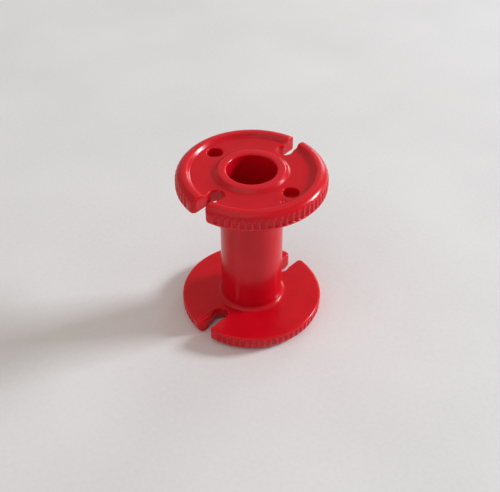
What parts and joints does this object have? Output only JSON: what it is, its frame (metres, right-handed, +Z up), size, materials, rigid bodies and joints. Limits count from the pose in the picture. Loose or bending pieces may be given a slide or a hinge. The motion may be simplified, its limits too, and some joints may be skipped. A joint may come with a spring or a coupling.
{
  "type": "thread spool",
  "caption": "Empty flanged spool for sewing thread, with a through bore, and with drive holes and thread slots in its dished, fluted flanges.",
  "frame": {"origin": "centre of the ring that the spool stands on, on the bore's axis", "axes": "+Z up along the bore; the thread slots lie along X and the plain drive holes along Y"},
  "size_m": [0.0276, 0.028, 0.0336],
  "materials": {
    "spool_plastic": "glossy injection-moulded polystyrene, coloured red right through"
  },
  "bodies": {
    "root": {"barrel": "spool_plastic", "upper_flange": "spool_plastic", "lower_flange": "spool_plastic"}
  },
  "joints": []
}
